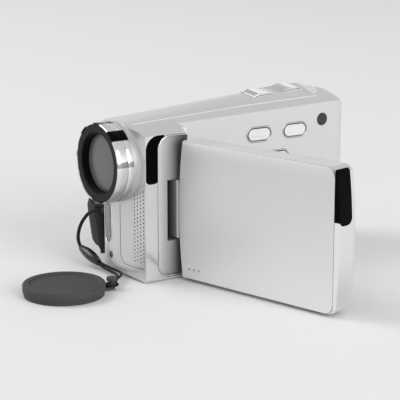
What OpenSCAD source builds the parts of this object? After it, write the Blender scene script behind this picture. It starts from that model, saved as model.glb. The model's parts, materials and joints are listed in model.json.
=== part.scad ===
// Hand-held camcorder with a fold-out, tilting screen, a lens cap on a cord and a hand strap.
// Millimetres. +Z is up, -Y is the way the lens looks, +X is the screen side.
// The origin is the mouth of the tripod socket, in the base and under the lens axis.

/* [Body] */
// From the tripod socket to the front face
front_y = 40.4; // [34:0.2:48]
// From the tripod socket to the rear face
rear_y = 73.4; // [66:0.2:90]
// From the lens axis to the grip side
grip_x = 24; // [22:0.5:32]
// From the lens axis to the outer face of the closed screen
screen_x = 20; // [19:0.5:26]
// Height of the top at the front
front_h = 65.4; // [64:0.2:76]
// Height of the top where it turns down at the rear
rear_h = 72.1; // [67:0.2:86]
// Thickness of the case walls
wall = 1.6; // [1.3:0.1:2.1]

/* [Lens] */
// Height of the lens axis
lens_z = 48.9; // [46:0.1:52]
// Outer radius of the chrome rings
ring_r = 17; // [14.2:0.1:20.4]
// Length of the front ring
front_ring_l = 4.9; // [4:0.1:6]
// Length of the rear ring
rear_ring_l = 2.9; // [2.3:0.1:3.6]
// Length of the silver barrel in front of the case
barrel_l = 1; // [0.8:0.1:3]
// Radius of the front glass
glass_r = 12.3; // [11:0.1:12.8]

/* [Screen] */
// Thickness of the screen assembly
screen_t = 9.6; // [8:0.1:11.6]
// Length of the screen assembly, from its hinge edge to its free end
screen_l = 84; // [70:0.5:86]
// Height of the screen's lower edge
screen_z0 = 1.2; // [1:0.1:3]
// Height of the screen's upper edge
screen_z1 = 59.3; // [54:0.1:59.6]
// Opening angle of the screen as stored
screen_open = 77.2; // [0:0.1:90]
// Distance of the hinge axis behind the front face
hinge_back = 19; // [17:0.2:23]
// Radius of the hinge pin
hinge_pin_r = 1.25; // [1:0.05:1.5]
// Radius of the pin that the screen tilts on
swivel_pin_r = 1.6; // [1.3:0.05:1.9]

/* [Buttons] */
// Length of the pill-shaped buttons
pill_l = 11.6; // [9.6:0.1:13.9]
// Height of the pill-shaped buttons
pill_h = 5; // [4.2:0.1:6]
// How far a button goes in
press = 0.5; // [0.3:0.1:0.7]
// Length of the zoom rocker
rocker_l = 25; // [20:0.5:30]
// Width of the zoom rocker
rocker_w = 9; // [7.5:0.5:10.5]

/* [Strap and cap] */
// Width of the hand strap
strap_w = 19; // [16:0.5:22]
// Thickness of the hand strap
strap_t = 2.4; // [2:0.1:2.9]
// How far the strap stands away from the lugs
strap_rise = 24; // [20:0.5:29]
// Radius of the lens cap
cap_r = 16.8; // [14:0.1:19.8]
// Height of the lens cap
cap_h = 5.2; // [4.6:0.1:6.4]
// Radius of the single cord
cord_r = 0.75; // [0.6:0.05:0.9]
// Radius of the looped cord
loop_r = 0.55; // [0.45:0.05:0.6]

/* [Fits] */
// Gap between pieces that only sit in each other
seat = 0.1; // [0.05:0.05:0.2]
// Gap round pieces that move
clear = 0.3; // [0.3:0.05:0.45]
// Radial gap of a pin that turns in its bore
running = 0.05; // [0.02:0.01:0.1]

/* [Hidden] */
$fn = 64;
big = 200;
past = 1;

// case
side_x = screen_x - screen_t - 0.7;
bow = 2.2;
bow_x = -2;
bow_r = 110;
bow_cy = -front_y - bow + bow_r;
crest_y = rear_y - 15;
shoulder_r = 16;
top_slope = (rear_h - front_h) / (crest_y + front_y);
top_angle = atan(top_slope);
shoulder_z = rear_h + (15 - shoulder_r) * top_slope - shoulder_r / cos(top_angle);
crown_x = 5.9;
crown_pitch = 2.6;
crown_angle = 9.6;
crease_z = front_h - 1.2;
crease_pitch = 1.26;
crease_angle = 47.7;
column_angle = 18;
grip_top_r = 16;
grip_base_r = 6;
screen_base_r = 1.9;
grip_front_r = 20;
corner_x = -grip_x + grip_front_r;
corner_y = -front_y - bow + grip_front_r;
grip_rear_r = 9;
screen_rear_r = 5;
edge_r = 4;
split_x = 3.2;
split_z = 6;

// column and recess at the hinge end of the screen
column_w = 6.4;
recess_y = -front_y + 0.2 + column_w;
ledge_y = -front_y + 20.9;
recess_z0 = screen_z0 + 1.1;
recess_z1 = screen_z1 + 1.7;
recess_r = 5;
trim_t = 0.8;
trim_z0 = 0.8;
trim_z1 = recess_z1 + 1;

// hinge
axis_x = screen_x - screen_t / 2;
axis_y = -front_y + hinge_back;
axis_z = (screen_z0 + screen_z1) / 2;
cover_drop = 0.7;
tower_r = screen_x - cover_drop - axis_x;
notch_z0 = axis_z - 13.4;
notch_z1 = axis_z + 12.2;
block_half = tower_r - 0.4;
block_round = 1.6;
screen_near = tower_r + 0.8;
screen_far = screen_near + screen_l;
edge_bow_r = 212;
plate_end = screen_far - 2.9;
plate_t = 1;
bezel_t = 1.8;
bush_r = screen_t / 2 - bezel_t - 0.2;

// lens
lens_front_y = -front_y - bow - barrel_l - 0.1 - rear_ring_l - 0.1 - front_ring_l;
rear_ring_y = lens_front_y + front_ring_l + 0.1;
barrel_y = rear_ring_y + rear_ring_l + 0.1;
lip = 0.75;
barrel_r = ring_r - 0.6;
neck_r = glass_r + 0.6;
tube_r = glass_r - 0.1;
inner_r = side_x - wall - 0.4;

// buttons on the screen side
row_z = 54.7;
power_y = 24.7;
mode_y = 44.3;
playback_y = 34.5;
playback_z = 43.4;
button_proud = 0.2;
flange_t = 1.2;
flange_rim = 1;
flange_x = side_x - wall - clear - flange_t;
switch_gap = press + clear;
side_board_x = flange_x - switch_gap - flange_t - 1.2;

// rear controls
record_x = -10;
record_z = 50;
record_r = 5;
nav_x = -6;
nav_z = 30;
nav_r = 8.5;
rear_flange_y = rear_y - wall - clear - flange_t;

// zoom rocker
rocker_x = -4.5;
rocker_y = rear_y - 31.9;
rocker_z = front_h + (rocker_y + front_y) * top_slope - 0.5;
rocker_lean = 6;
rocker_pin_r = 0.8;
rocker_pin_z = -1.1;
seat_rim = 1;

// windows in the front
led_x = -7.2;
led_w = 6.7;
led_z0 = 13.1;
led_z1 = lens_z - ring_r - 0.9;
ir_x = -4.4;
ir_z = 7.9;
ir_r = 1.45;
grille_x0 = 12;
grille_x1 = screen_x - trim_t - 0.1;
speaker_w = 5.6;
speaker_x = screen_x - wall - 0.2 - speaker_w / 2;
grille_z0 = 6.8;
grille_z1 = 41.6;
hole_r = 0.38;
hole_pitch_x = 1.83;
hole_pitch_z = 1.64;
hole_rows = 19;

// battery bay
door_x0 = -20;
door_x1 = 4;
door_y0 = rear_y - 51;
door_t = 1.7;
port_x0 = -14;
port_x1 = 2.6;
port_z0 = 6;
port_z1 = 17;
port_t = 1.2;

// hand strap: an arc between two bars, in a frame that rises to the rear
lug_reach = 3.2;
lug_angle = 218;
front_bar_x = corner_x + (grip_front_r + lug_reach) * cos(lug_angle);
front_bar_y = corner_y + (grip_front_r + lug_reach) * sin(lug_angle);
rear_bar_x = -grip_x - 2.5;
strap_run = rear_y - 29 - front_bar_y;
strap_z = 15;
strap_tilt = 8;
strap_steps = 24;
strap_square = 2.6;
bar_r = 1;
strap_loop_r = bar_r + seat + strap_t / 2;

// lens cap and its cord
cap_x = 13.5;
cap_y = -75.6;
post_x = 18.1;
post_y = -55.9;
post_r = 1.4;
eyelet_z = 23.7;
eyelet_angle = 230;
eyelet_l = 1.4;
bead_a = [-23.7, -46, 7.1];
bead_b = [-10, -45.3, 3.2];
bead_r = 2.3;
CORD = [
    [-17.6, -38.9, 23.7], [-19.4, -41, 23.8], [-22.4, -42, 22.6], [-25.2, -42.8, 20.1],
    [-27.4, -43.8, 16.6], [-28.2, -44.6, 13.1], [-27.4, -45.4, 10.3], [-25.4, -45.9, 8.2],
    [-23.7, -46, 7.1], [-19.1, -45.8, 5.8], [-14.6, -45.5, 4.5], [-10.4, -45.3, 3.3]
];
LOOP = [
    [-10, -44.6, 3.2], [-7.2, -44.2, 2.7], [-3.6, -43.9, 2.4], [0.6, -43.8, 2.4], [4.9, -44.1, 2.5],
    [8.9, -45.7, 2.7], [11.8, -48.2, 2.8], [14.4, -51.2, 2.6], [17.6, -53.5, 2.3],
    [19.8, -54.2, 2.2], [20.5, -55.9, 2.2], [19.8, -57.6, 2.2], [18.1, -58.3, 2.2],
    [16.4, -57.6, 2.2], [15.2, -55.2, 2.2], [13, -51.8, 2.2], [10.6, -49, 2.2], [7.4, -46.9, 2.1],
    [3, -45.8, 1.9], [-1.2, -45.6, 1.9], [-5, -45.6, 2.1], [-7.6, -45.8, 2.7], [-10, -46, 3.2]
];

silver = [0.78, 0.78, 0.79];
light = [0.86, 0.86, 0.85];
chrome = [0.9, 0.91, 0.92];
black = [0.06, 0.06, 0.06];
dark = [0.26, 0.25, 0.24];
green = [0.1, 0.32, 0.18];
glassy = [0.5, 0.52, 0.55];

// ---- shared shapes ----

function arc(cx, cy, r, a0, a1, n = 6) =
    [for (i = [0 : n]) let (a = a0 + (a1 - a0) * i / n) [cx + r * cos(a), cy + r * sin(a)]];

// what a rounded corner takes off; quarter 0 is the +x +y corner, then anticlockwise
module corner_off(x, y, r, quarter) {
    translate([x, y]) rotate(90 * quarter) translate([-r, -r]) difference() {
        square(r + past);
        circle(r);
    }
}

module pill(l, h) {
    for (s = [-1, 1]) translate([s * (l - h) / 2, 0]) circle(h / 2);
    square([l - h, h], center = true);
}

module slab(x0, y0, x1, y1, r) {
    translate([x0 + r, y0]) square([x1 - x0 - 2 * r, y1 - y0]);
    translate([x0, y0 + r]) square([x1 - x0, y1 - y0 - 2 * r]);
    for (x = [x0 + r, x1 - r], y = [y0 + r, y1 - r]) translate([x, y]) circle(r);
}

// 2-D (y, z) drawn and pushed along +X
module along_x(l) {
    rotate([90, 0, 90]) linear_extrude(l) children();
}

// a piece with its own axis on +Z, laid along +Y and centred on the lens axis
module on_lens(y) {
    translate([0, y, lens_z]) rotate([-90, 0, 0]) children();
}

module ring(r_out, r_in, h) {
    difference() {
        cylinder(r = r_out, h = h);
        translate([0, 0, -past]) cylinder(r = r_in, h = h + 2 * past);
    }
}

// a tube with eight sides swept along hand-set points
function unit(v) = v / norm(v);
function heading(p, i) = unit(p[min(i + 1, len(p) - 1)] - p[max(i - 1, 0)]);
function across(t) = unit(cross(t, abs(t[2]) > 0.9 ? [1, 0, 0] : [0, 0, 1]));
function hoop(c, t, r) =
    let (u = across(t), v = cross(t, u)) [for (k = [0 : 7]) c + r * (u * cos(45 * k) + v * sin(45 * k))];

module tube(points, r) {
    n = len(points);
    rows = [for (i = [0 : n - 1]) each hoop(points[i], heading(points, i), r)];
    sides = [for (i = [0 : n - 2], k = [0 : 7])
        [i * 8 + k, (i + 1) * 8 + k, (i + 1) * 8 + (k + 1) % 8, i * 8 + (k + 1) % 8]];
    ends = [[for (k = [0 : 7]) k], [for (k = [7 : -1 : 0]) (n - 1) * 8 + k]];
    polyhedron(rows, concat(sides, ends));
}

// ---- the case ----

function top_z(y) = front_h + (y + front_y) * top_slope;

module plan_2d(d) {
    difference() {
        intersection() {
            translate([-grip_x + d, -front_y - bow])
                square([grip_x + screen_x - 2 * d, front_y + bow + rear_y - d]);
            translate([bow_x, bow_cy]) circle(bow_r - d, $fn = 256);
        }
        corner_off(-grip_x + d, -front_y - bow + d, grip_front_r - d, 2);
        corner_off(-grip_x + d, rear_y - d, grip_rear_r - d, 1);
        corner_off(side_x - d, rear_y - d, screen_rear_r - d, 0);
    }
}

module side_2d(d) {
    y0 = -front_y - bow - past;
    difference() {
        polygon([[y0, d], [rear_y - d, d], [rear_y - d, top_z(rear_y) - d], [y0, top_z(y0) - d]]);
        translate([rear_y - shoulder_r, shoulder_z]) difference() {
            polygon([[0, 0], [big, 0], [big, big], [-big * sin(top_angle), big * cos(top_angle)]]);
            circle(shoulder_r - d);
        }
        corner_off(rear_y - d, d, edge_r - d, 3);
        corner_off(-front_y - bow + d, d, edge_r - d, 2);
    }
}

module front_2d(d) {
    difference() {
        translate([-grip_x + d, d]) square([grip_x + screen_x - 2 * d, big]);
        corner_off(-grip_x + d, d, grip_base_r - d, 2);
        corner_off(screen_x - d, d, screen_base_r - d, 3);
    }
}

// the long roll over the hand side of the top, which climbs with it
module top_roll(d) {
    translate([0, -front_y, front_h]) rotate([top_angle, 0, 0]) translate([0, big, 0]) rotate([90, 0, 0])
        linear_extrude(2 * big) difference() {
            translate([-grip_x + d, -big]) square([big, big - d]);
            corner_off(-grip_x + d, -d, grip_top_r - d, 1);
        }
}

// the sloping faces above the side plate and above the column
module top_cuts(d) {
    translate([crown_x, -front_y, front_h - 0.3]) rotate([crown_pitch, 0, 0]) rotate([0, crown_angle, 0])
        translate([-big / 2, -big / 2, -d]) cube(big);
    translate([side_x, 0, crease_z]) rotate([crease_pitch, 0, 0]) rotate([0, crease_angle, 0])
        translate([-big / 2, ledge_y, -d]) cube([big, big, big]);
    translate([screen_x, 0, trim_z1]) rotate([0, column_angle, 0])
        translate([-big / 2, ledge_y - big, -d]) cube([big, big, big]);
}

module body_solid(d) {
    difference() {
        intersection() {
            linear_extrude(big) plan_2d(d);
            translate([-big / 2, 0, 0]) along_x(big) side_2d(d);
            translate([0, big / 2, 0]) rotate([90, 0, 0]) linear_extrude(big) front_2d(d);
            top_roll(d);
        }
        top_cuts(d);
    }
}

module recess_2d(grow) {
    difference() {
        translate([recess_y - grow, recess_z0 - grow])
            square([ledge_y - recess_y + past, recess_z1 - recess_z0 + 2 * grow]);
        corner_off(recess_y - grow, recess_z1 + grow, recess_r + grow, 1);
        corner_off(recess_y - grow, recess_z0 - grow, recess_r + grow, 2);
    }
}

module outer() {
    difference() {
        body_solid(0);
        translate([side_x, ledge_y, -past]) cube([big, big, big]);
        translate([side_x, 0, 0]) along_x(big) recess_2d(0);
    }
}

module cavity() {
    intersection() {
        body_solid(wall);
        union() {
            translate([-big, -big, 0]) cube([big + side_x - wall, 2 * big, big]);
            translate([0, -big, 0]) cube([big, big + recess_y - wall, big]);
        }
    }
}

// what belongs to the grip half: left of the seam, and the sole that runs under the column
module grip_side() {
    translate([0, big / 2, 0]) rotate([90, 0, 0]) linear_extrude(big) polygon(concat(
        [[-big, -past], [big, -past], [big, split_z]],
        arc(split_x + 6, split_z + 4.5, 4.5, 270, 180),
        [[split_x, 30], [split_x, 50], [split_x + 3.8, 62], [split_x + 3.8, big], [-big, big]]
    ));
}

module at_screw() {
    for (x = [-15, -0.5], y = [-25, 14]) translate([x, y, 0]) children();
}

module in_rocker() {
    translate([rocker_x, rocker_y, rocker_z]) rotate([top_angle, rocker_lean, 0]) children();
}

module side_pill(y, z, x, grow, t) {
    translate([x, y, z]) along_x(t) pill(pill_l + 2 * grow, pill_h + 2 * grow);
}

module openings() {
    on_lens(-front_y - bow - past) cylinder(r = glass_r + 0.2, h = 12);
    translate([0, -front_y + 6, 0]) rotate([90, 0, 0]) linear_extrude(12) led_2d(seat);
    translate([ir_x, -front_y + 6, ir_z]) rotate([90, 0, 0]) cylinder(r = ir_r + seat, h = 12);
    translate([grille_x0 - seat, -front_y - bow - past, grille_z0 - seat])
        cube([grille_x1 - grille_x0 + 2 * seat, bow + past + 2.6, grille_z1 - grille_z0 + 2 * seat]);
    trim_solid();
    for (b = [[power_y, row_z], [mode_y, row_z], [playback_y, playback_z]]) {
        side_pill(b[0], b[1], side_x - wall - past, clear, wall + 2 * past);
        side_pill(b[0], b[1], side_x - 0.4, 1.1, 0.4 + past);
    }
    translate([side_x - 0.8, rear_y - 13.8, 58]) rotate([0, 90, 0]) cylinder(r = 2.8 + seat, h = wall);
    in_rocker() translate([0, 0, -4]) linear_extrude(8)
        square([rocker_w + 2 * seat_rim + 2 * seat, rocker_l + 2 * seat_rim + 2 * seat], center = true);
    translate([record_x, rear_y - 7, record_z]) rotate([-90, 0, 0]) cylinder(r = record_r + clear, h = 9);
    translate([nav_x, rear_y - 7, nav_z]) rotate([-90, 0, 0]) cylinder(r = nav_r + clear, h = 9);
    translate([3, rear_y - 7, record_z]) rotate([-90, 0, 0]) cylinder(r = 1.2 + seat, h = 9);
    translate([port_x0 - 1.4, rear_y - port_t - clear, port_z0 - clear])
        cube([port_x1 - port_x0 + 1.4 + clear, wall + past, port_z1 - port_z0 + 2 * clear]);
    translate([-9.2, rear_y - 6, 9]) cube([8.4, 6, 4.2]);
    translate([door_x0 - clear, door_y0 - clear, -past])
        cube([door_x1 - door_x0 + 2 * clear, big, past + door_t + clear]);
    cylinder(r = 5.5 + seat, h = 8);
    at_screw() {
        translate([0, 0, -past]) cylinder(r = 1.9, h = past + 1.1);
        cylinder(r = 0.95, h = 12);
    }
}

module shell() {
    difference() {
        union() {
            difference() {
                outer();
                cavity();
            }
            at_screw() translate([0, 0, 0.5]) cylinder(r = 2.8, h = 9);
            translate([port_x0 - 3, rear_y - 3.6, port_z0 - 2])
                cube([port_x1 - port_x0 + 5, 2.4, port_z1 - port_z0 + 4]);
        }
        openings();
    }
}

module grip_shell() {
    color(silver) intersection() {
        shell();
        grip_side();
    }
}

module screen_side_shell() {
    color(silver) difference() {
        shell();
        grip_side();
    }
}

module grille_holes() {
    for (i = [0 : 3], k = [0 : hole_rows - 1])
        translate([13.1 + i * hole_pitch_x, 0, 8.6 + (k + (i % 2) / 2) * hole_pitch_z])
            rotate([-90, 0, 0]) cylinder(r = hole_r, h = 10);
}

module front_grille() {
    color(silver) difference() {
        intersection() {
            translate([grille_x0, -front_y - bow - past, grille_z0])
                cube([grille_x1 - grille_x0, 12, grille_z1 - grille_z0]);
            translate([bow_x, bow_cy, 0]) cylinder(r = bow_r, h = big, $fn = 256);
        }
        translate([bow_x, bow_cy, -past]) cylinder(r = bow_r - 1.2, h = big + 2 * past, $fn = 256);
        translate([0, -front_y - bow - past, 0]) grille_holes();
    }
}

module trim_2d() {
    difference() {
        translate([-front_y + 0.2, trim_z0]) square([ledge_y + front_y - 0.2, trim_z1 - trim_z0]);
        corner_off(-front_y + 0.2, trim_z1, 6, 1);
        corner_off(-front_y + 0.2, trim_z0, 3, 2);
        recess_2d(0);
    }
}

module trim_solid() {
    translate([screen_x - trim_t, 0, 0]) along_x(trim_t + past) trim_2d();
}

module hinge_trim() {
    color(chrome) intersection() {
        trim_solid();
        body_solid(0);
    }
}

module hinge_cover() {
    color(silver) difference() {
        intersection() {
            union() {
                translate([side_x + seat, recess_y, 0])
                    cube([screen_x - cover_drop - side_x - seat, axis_y - recess_y, big]);
                translate([axis_x, axis_y, 0]) cylinder(r = tower_r, h = big);
            }
            along_x(big) recess_2d(-seat);
        }
        translate([side_x - past, recess_y + 4.6, notch_z0]) cube([big, big, notch_z1 - notch_z0]);
        translate([axis_x, axis_y, notch_z0 - 7]) cylinder(r = hinge_pin_r, h = notch_z1 - notch_z0 + 14);
    }
}

module hinge_pin() {
    color(chrome) translate([axis_x, axis_y, notch_z0 - 7])
        cylinder(r = hinge_pin_r, h = notch_z1 - notch_z0 + 14);
}

// ---- lens ----

module lens_front_ring() {
    color(chrome) on_lens(lens_front_y) rotate_extrude() polygon([
        [ring_r - lip, 0], [ring_r - 0.3, 0], [ring_r, 0.3], [ring_r, front_ring_l],
        [neck_r + seat, front_ring_l], [neck_r + seat, front_ring_l - 0.4], [ring_r - lip, front_ring_l - 0.4]
    ]);
}

module lens_rear_ring() {
    color(chrome) on_lens(rear_ring_y) ring(ring_r, neck_r + seat, rear_ring_l);
}

module lens_barrel() {
    color(silver) difference() {
        union() {
            on_lens(barrel_y) ring(barrel_r, tube_r + seat, -front_y + 3 - barrel_y);
            on_lens(rear_ring_y - 0.5) ring(neck_r, tube_r + seat, barrel_y - rear_ring_y + 1);
        }
        linear_extrude(big) plan_2d(0);
    }
}

module lens_bezel() {
    color(dark) on_lens(lens_front_y + 0.2) rotate_extrude() polygon([
        [glass_r + 0.8, 0], [ring_r - lip - seat, 0], [ring_r - lip - seat, front_ring_l - 0.8],
        [glass_r + seat, front_ring_l - 0.8], [glass_r + seat, 2.2]
    ]);
}

module lens_glass() {
    color(glassy) on_lens(lens_front_y + 2.5) rotate_extrude() polygon([
        [0, 0], [glass_r * 0.4, 0.1], [glass_r * 0.75, 0.4], [glass_r, 0.8], [glass_r, 1.8], [0, 1.8]
    ]);
}

module lens_cell() {
    color(black) on_lens(lens_front_y + front_ring_l - 0.4) {
        ring(tube_r, tube_r - 1.6, 9);
        translate([0, 0, 9]) ring(tube_r, inner_r - 1.5, 1);
        translate([0, 0, 10]) ring(inner_r, inner_r - 1.5, 16);
    }
}

module lens_rear_element() {
    color(glassy) on_lens(lens_front_y + front_ring_l + 18) rotate_extrude() polygon([
        [0, 0], [inner_r * 0.3, 0.1], [inner_r * 0.6, 0.7], [inner_r - 1.6, 1.4], [inner_r - 1.6, 4], [0, 4]
    ]);
}

module image_sensor() {
    color(green) translate([-7.4, -front_y + 25.8, lens_z - 11]) cube([14.8, 1.2, 22]);
    color(black) translate([-5, -front_y + 24.6, lens_z - 4]) cube([10, 1.2, 8]);
}

// ---- front windows ----

module led_2d(grow) {
    translate([led_x, (led_z0 + led_z1) / 2]) rotate(90) pill(led_z1 - led_z0 + 2 * grow, led_w + 2 * grow);
}

module led_window() {
    color(glassy) difference() {
        intersection() {
            translate([0, -front_y + 6, 0]) rotate([90, 0, 0]) linear_extrude(12) led_2d(0);
            body_solid(0.2);
        }
        body_solid(1.2);
    }
}

module led_board() {
    y = -front_y - bow + 3.4;
    color("white") translate([led_x - 3, y, led_z0 + 0.5]) cube([6, 1, led_z1 - led_z0 - 1]);
    color("gold") for (i = [-1, 0, 1])
        translate([led_x, y, (led_z0 + led_z1) / 2 + i * 5.2]) rotate([90, 0, 0]) cylinder(r = 1.7, h = 0.8);
}

module ir_window() {
    color([0.2, 0.05, 0.06]) intersection() {
        translate([ir_x, -front_y + 0.6, ir_z]) rotate([90, 0, 0]) cylinder(r = ir_r, h = 12);
        linear_extrude(big) plan_2d(0);
    }
}

module speaker() {
    color(black) translate([speaker_x, -front_y + 4.3, 20]) rotate([90, 0, 0]) linear_extrude(2.9)
        rotate(90) pill(19, speaker_w);
}

module microphone() {
    color(chrome) translate([speaker_x, -front_y + 4.3, 37]) rotate([90, 0, 0]) cylinder(r = 2.6, h = 2.6);
}

// ---- inside ----

module main_board() {
    color(green) translate([-12.6, -8, 12]) cube([1.4, rear_y - 14, 46]);
    color(black) translate([-11.2, 4, 26]) cube([1.2, 14, 14]);
}

module side_board() {
    color(green) translate([side_board_x, playback_y - 20, playback_z - 6]) cube([1.2, 40, 22]);
    color(black) for (b = [[power_y, row_z], [mode_y, row_z], [playback_y, playback_z]])
        translate([side_board_x + 1.2, b[0] - 2, b[1] - 2]) cube([flange_t, 4, 4]);
}

module rear_board() {
    y = rear_flange_y - switch_gap - 2.4;
    color(green) translate([-20, y, 19]) cube([24, 1.2, 39]);
    color(black) for (b = [[record_x, record_z], [nav_x, nav_z]])
        translate([b[0] - 2, y + 1.2, b[1] - 2]) cube([4, 1.2, 4]);
}

module battery() {
    color([0.2, 0.22, 0.26]) translate([-9.6, door_y0 + 2, door_t + 0.6]) cube([12.6, 36, 46]);
}

module battery_door() {
    color(light) difference() {
        intersection() {
            translate([door_x0, door_y0, -past]) cube([door_x1 - door_x0, big, past + door_t]);
            body_solid(0);
        }
        for (i = [0 : 4]) translate([door_x0 + 6, door_y0 + 4 + i * 2.4, -past])
            cube([door_x1 - door_x0 - 12, 1.2, past + 0.5]);
    }
}

module card_slot() {
    color("silver") difference() {
        translate([-17.6, door_y0 + 4, 4]) cube([3.2, 26, 29]);
        translate([-17.2, door_y0 + 5, 4 - past]) cube([2.3, 24, 27]);
    }
}

module usb_port() {
    color("silver") difference() {
        translate([-9.1, rear_y - 8, 9.1]) cube([8.2, 6.2, 4]);
        translate([-8.6, rear_y - 7, 9.6]) cube([7.2, 8, 3]);
    }
}

module port_cover() {
    color(silver) {
        translate([port_x0, rear_y - port_t, port_z0]) cube([port_x1 - port_x0, port_t, port_z1 - port_z0]);
        translate([port_x0 - 0.3, rear_y - 0.65, port_z0]) cylinder(r = 0.6, h = port_z1 - port_z0);
    }
}

module tripod_socket() {
    color("silver") difference() {
        cylinder(r = 5.5, h = 6.5);
        translate([0, 0, -past]) cylinder(r = 3.175, h = 5.5 + past);
    }
}

module case_screws() {
    color("silver") at_screw() {
        translate([0, 0, 0.1]) cylinder(r = 1.8, h = 0.95);
        cylinder(r = 0.9, h = 8);
    }
}

// ---- controls ----

module side_button(y, z) {
    color(light) {
        side_pill(y, z, flange_x, 0, side_x + button_proud - flange_x);
        side_pill(y, z, flange_x, flange_rim, flange_t);
    }
}

module power_button() {
    side_button(power_y, row_z);
}

module mode_button() {
    side_button(mode_y, row_z);
}

module playback_button() {
    side_button(playback_y, playback_z);
}

module rear_button(x, z, r, reach) {
    translate([x, rear_flange_y, z]) rotate([-90, 0, 0]) {
        cylinder(r = r + flange_rim, h = flange_t);
        cylinder(r = r, h = reach + rear_y - rear_flange_y);
    }
}

module record_button() {
    color([0.7, 0.08, 0.08]) rear_button(record_x, record_z, record_r, -1);
}

module nav_pad() {
    color(light) difference() {
        rear_button(nav_x, nav_z, nav_r, 0.8);
        translate([nav_x, rear_y + 0.4, nav_z]) rotate([-90, 0, 0]) ring(4, 3.4, 2);
    }
}

module status_led() {
    color("red") translate([3, rear_y - 4, record_z]) rotate([-90, 0, 0]) cylinder(r = 1.2, h = 2.7);
}

module bumper_pad() {
    color(black) translate([side_x - 0.8, rear_y - 13.8, 58]) rotate([0, 90, 0]) cylinder(r = 2.8, h = 0.9);
}

module rocker_seat() {
    color(chrome) in_rocker() difference() {
        translate([0, 0, -2.6]) linear_extrude(2.9)
            square([rocker_w + 2 * seat_rim, rocker_l + 2 * seat_rim], center = true);
        translate([0, 0, -4]) linear_extrude(8)
            square([rocker_w + 2 * clear, rocker_l + 2 * clear], center = true);
        translate([0, 0, rocker_pin_z]) rotate([0, 90, 0])
            cylinder(r = rocker_pin_r, h = rocker_w + 2 * seat_rim, center = true);
    }
}

module rocker_pin() {
    color("silver") in_rocker() translate([0, 0, rocker_pin_z]) rotate([0, 90, 0])
        cylinder(r = rocker_pin_r, h = rocker_w + 2 * seat_rim, center = true);
}

// a saddle: high at both ends, a hollow between them
module zoom_rocker() {
    e = rocker_l / 2;
    color(chrome) in_rocker() difference() {
        translate([-rocker_w / 2, 0, 0]) along_x(rocker_w) polygon([
            [-e, 0.1], [-e, 0.5], [-e * 0.78, 1.4], [-e * 0.55, 0.9], [-e * 0.25, 0.4], [0, 0.3],
            [e * 0.2, 0.5], [e * 0.42, 1.2], [e * 0.62, 1.4], [e, 0.5], [e, 0.1], [3, -2.2], [-3, -2.2]
        ]);
        translate([0, 0, rocker_pin_z]) rotate([0, 90, 0])
            cylinder(r = rocker_pin_r + running, h = rocker_w + past, center = true);
    }
}

// ---- hand strap ----

module in_strap() {
    translate([front_bar_x, front_bar_y, strap_z]) rotate([strap_tilt, 0, 0]) children();
}

// the strap's line between its bars: a squared-off oval, so it leaves each lug outwards
function oval(c) = sign(c) * pow(abs(c), 2 / strap_square);
function strap_at(a) = [
    (rear_bar_x - front_bar_x) * (1 - oval(cos(a))) / 2 - strap_rise * oval(sin(a)),
    strap_run / cos(strap_tilt) * (1 - oval(cos(a))) / 2
];
function strap_side(a, s) =
    let (t = strap_at(min(a + 1, 180)) - strap_at(max(a - 1, 0)))
    strap_at(a) + s * strap_t / 2 * [t[1], -t[0]] / norm(t);

module hand_strap() {
    a0 = asin(pow((strap_loop_r - 0.4) / strap_rise, strap_square / 2));
    list = [for (i = [0 : strap_steps]) a0 + (180 - 2 * a0) * i / strap_steps];
    back = [for (i = [0 : strap_steps]) list[strap_steps - i]];
    color(black) in_strap() translate([0, 0, -strap_w / 2]) linear_extrude(strap_w) difference() {
        union() {
            polygon(concat([for (a = list) strap_side(a, 1)], [for (a = back) strap_side(a, -1)]));
            circle(strap_loop_r);
            translate(strap_at(180)) circle(strap_loop_r);
        }
        circle(bar_r + seat);
        translate(strap_at(180)) circle(bar_r + seat);
    }
}

module lug(x, y, turn) {
    h = strap_w / 2 + 0.2;
    color(silver) difference() {
        in_strap() translate([x, y, 0]) rotate(turn) {
            cylinder(r = bar_r, h = 2 * h + 1, center = true);
            for (s = [-1, 1]) translate([-1.2, -1.4, s > 0 ? h : -h - 1.8]) cube([5.5, 2.8, 1.8]);
        }
        body_solid(0);
    }
}

module strap_front_lug() {
    lug(0, 0, lug_angle - 180);
}

module strap_rear_lug() {
    lug(rear_bar_x - front_bar_x, strap_run / cos(strap_tilt), 0);
}

// ---- lens cap and its cord ----

module tether_eyelet() {
    color(black) difference() {
        translate([corner_x, corner_y, eyelet_z]) rotate([0, 0, eyelet_angle]) rotate([0, 90, 0])
            translate([0, 0, grip_front_r - 1]) cylinder(r = 1.3, h = eyelet_l + 1);
        body_solid(0);
    }
}

module tether_cord() {
    color(black) tube(CORD, cord_r);
}

module tether_loop() {
    color(black) tube(LOOP, loop_r);
}

module tether_bead() {
    run = bead_b - bead_a;
    l = norm(run);
    color(black) translate(bead_a) rotate([0, acos(run[2] / l), atan2(run[1], run[0])]) rotate_extrude()
        polygon(concat([[0, 0], [bead_r * 0.55, 0]],
            [for (i = [1 : 7]) [bead_r * (0.55 + 0.45 * sin(180 * i / 8)), l * i / 8]],
            [[bead_r * 0.55, l], [0, l]]));
}

module lens_cap() {
    color(black) translate([cap_x, cap_y, 0]) rotate_extrude() polygon([
        [0, 1.6], [cap_r - 2.2, 1.6], [cap_r - 1.4, 0], [cap_r - 0.5, 0], [cap_r - 0.5, 1.6],
        [cap_r, 2], [cap_r, cap_h - 0.4], [cap_r - 0.4, cap_h], [cap_r - 2, cap_h],
        [cap_r - 2.6, cap_h - 0.8], [0, cap_h - 0.8]
    ]);
}

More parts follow.
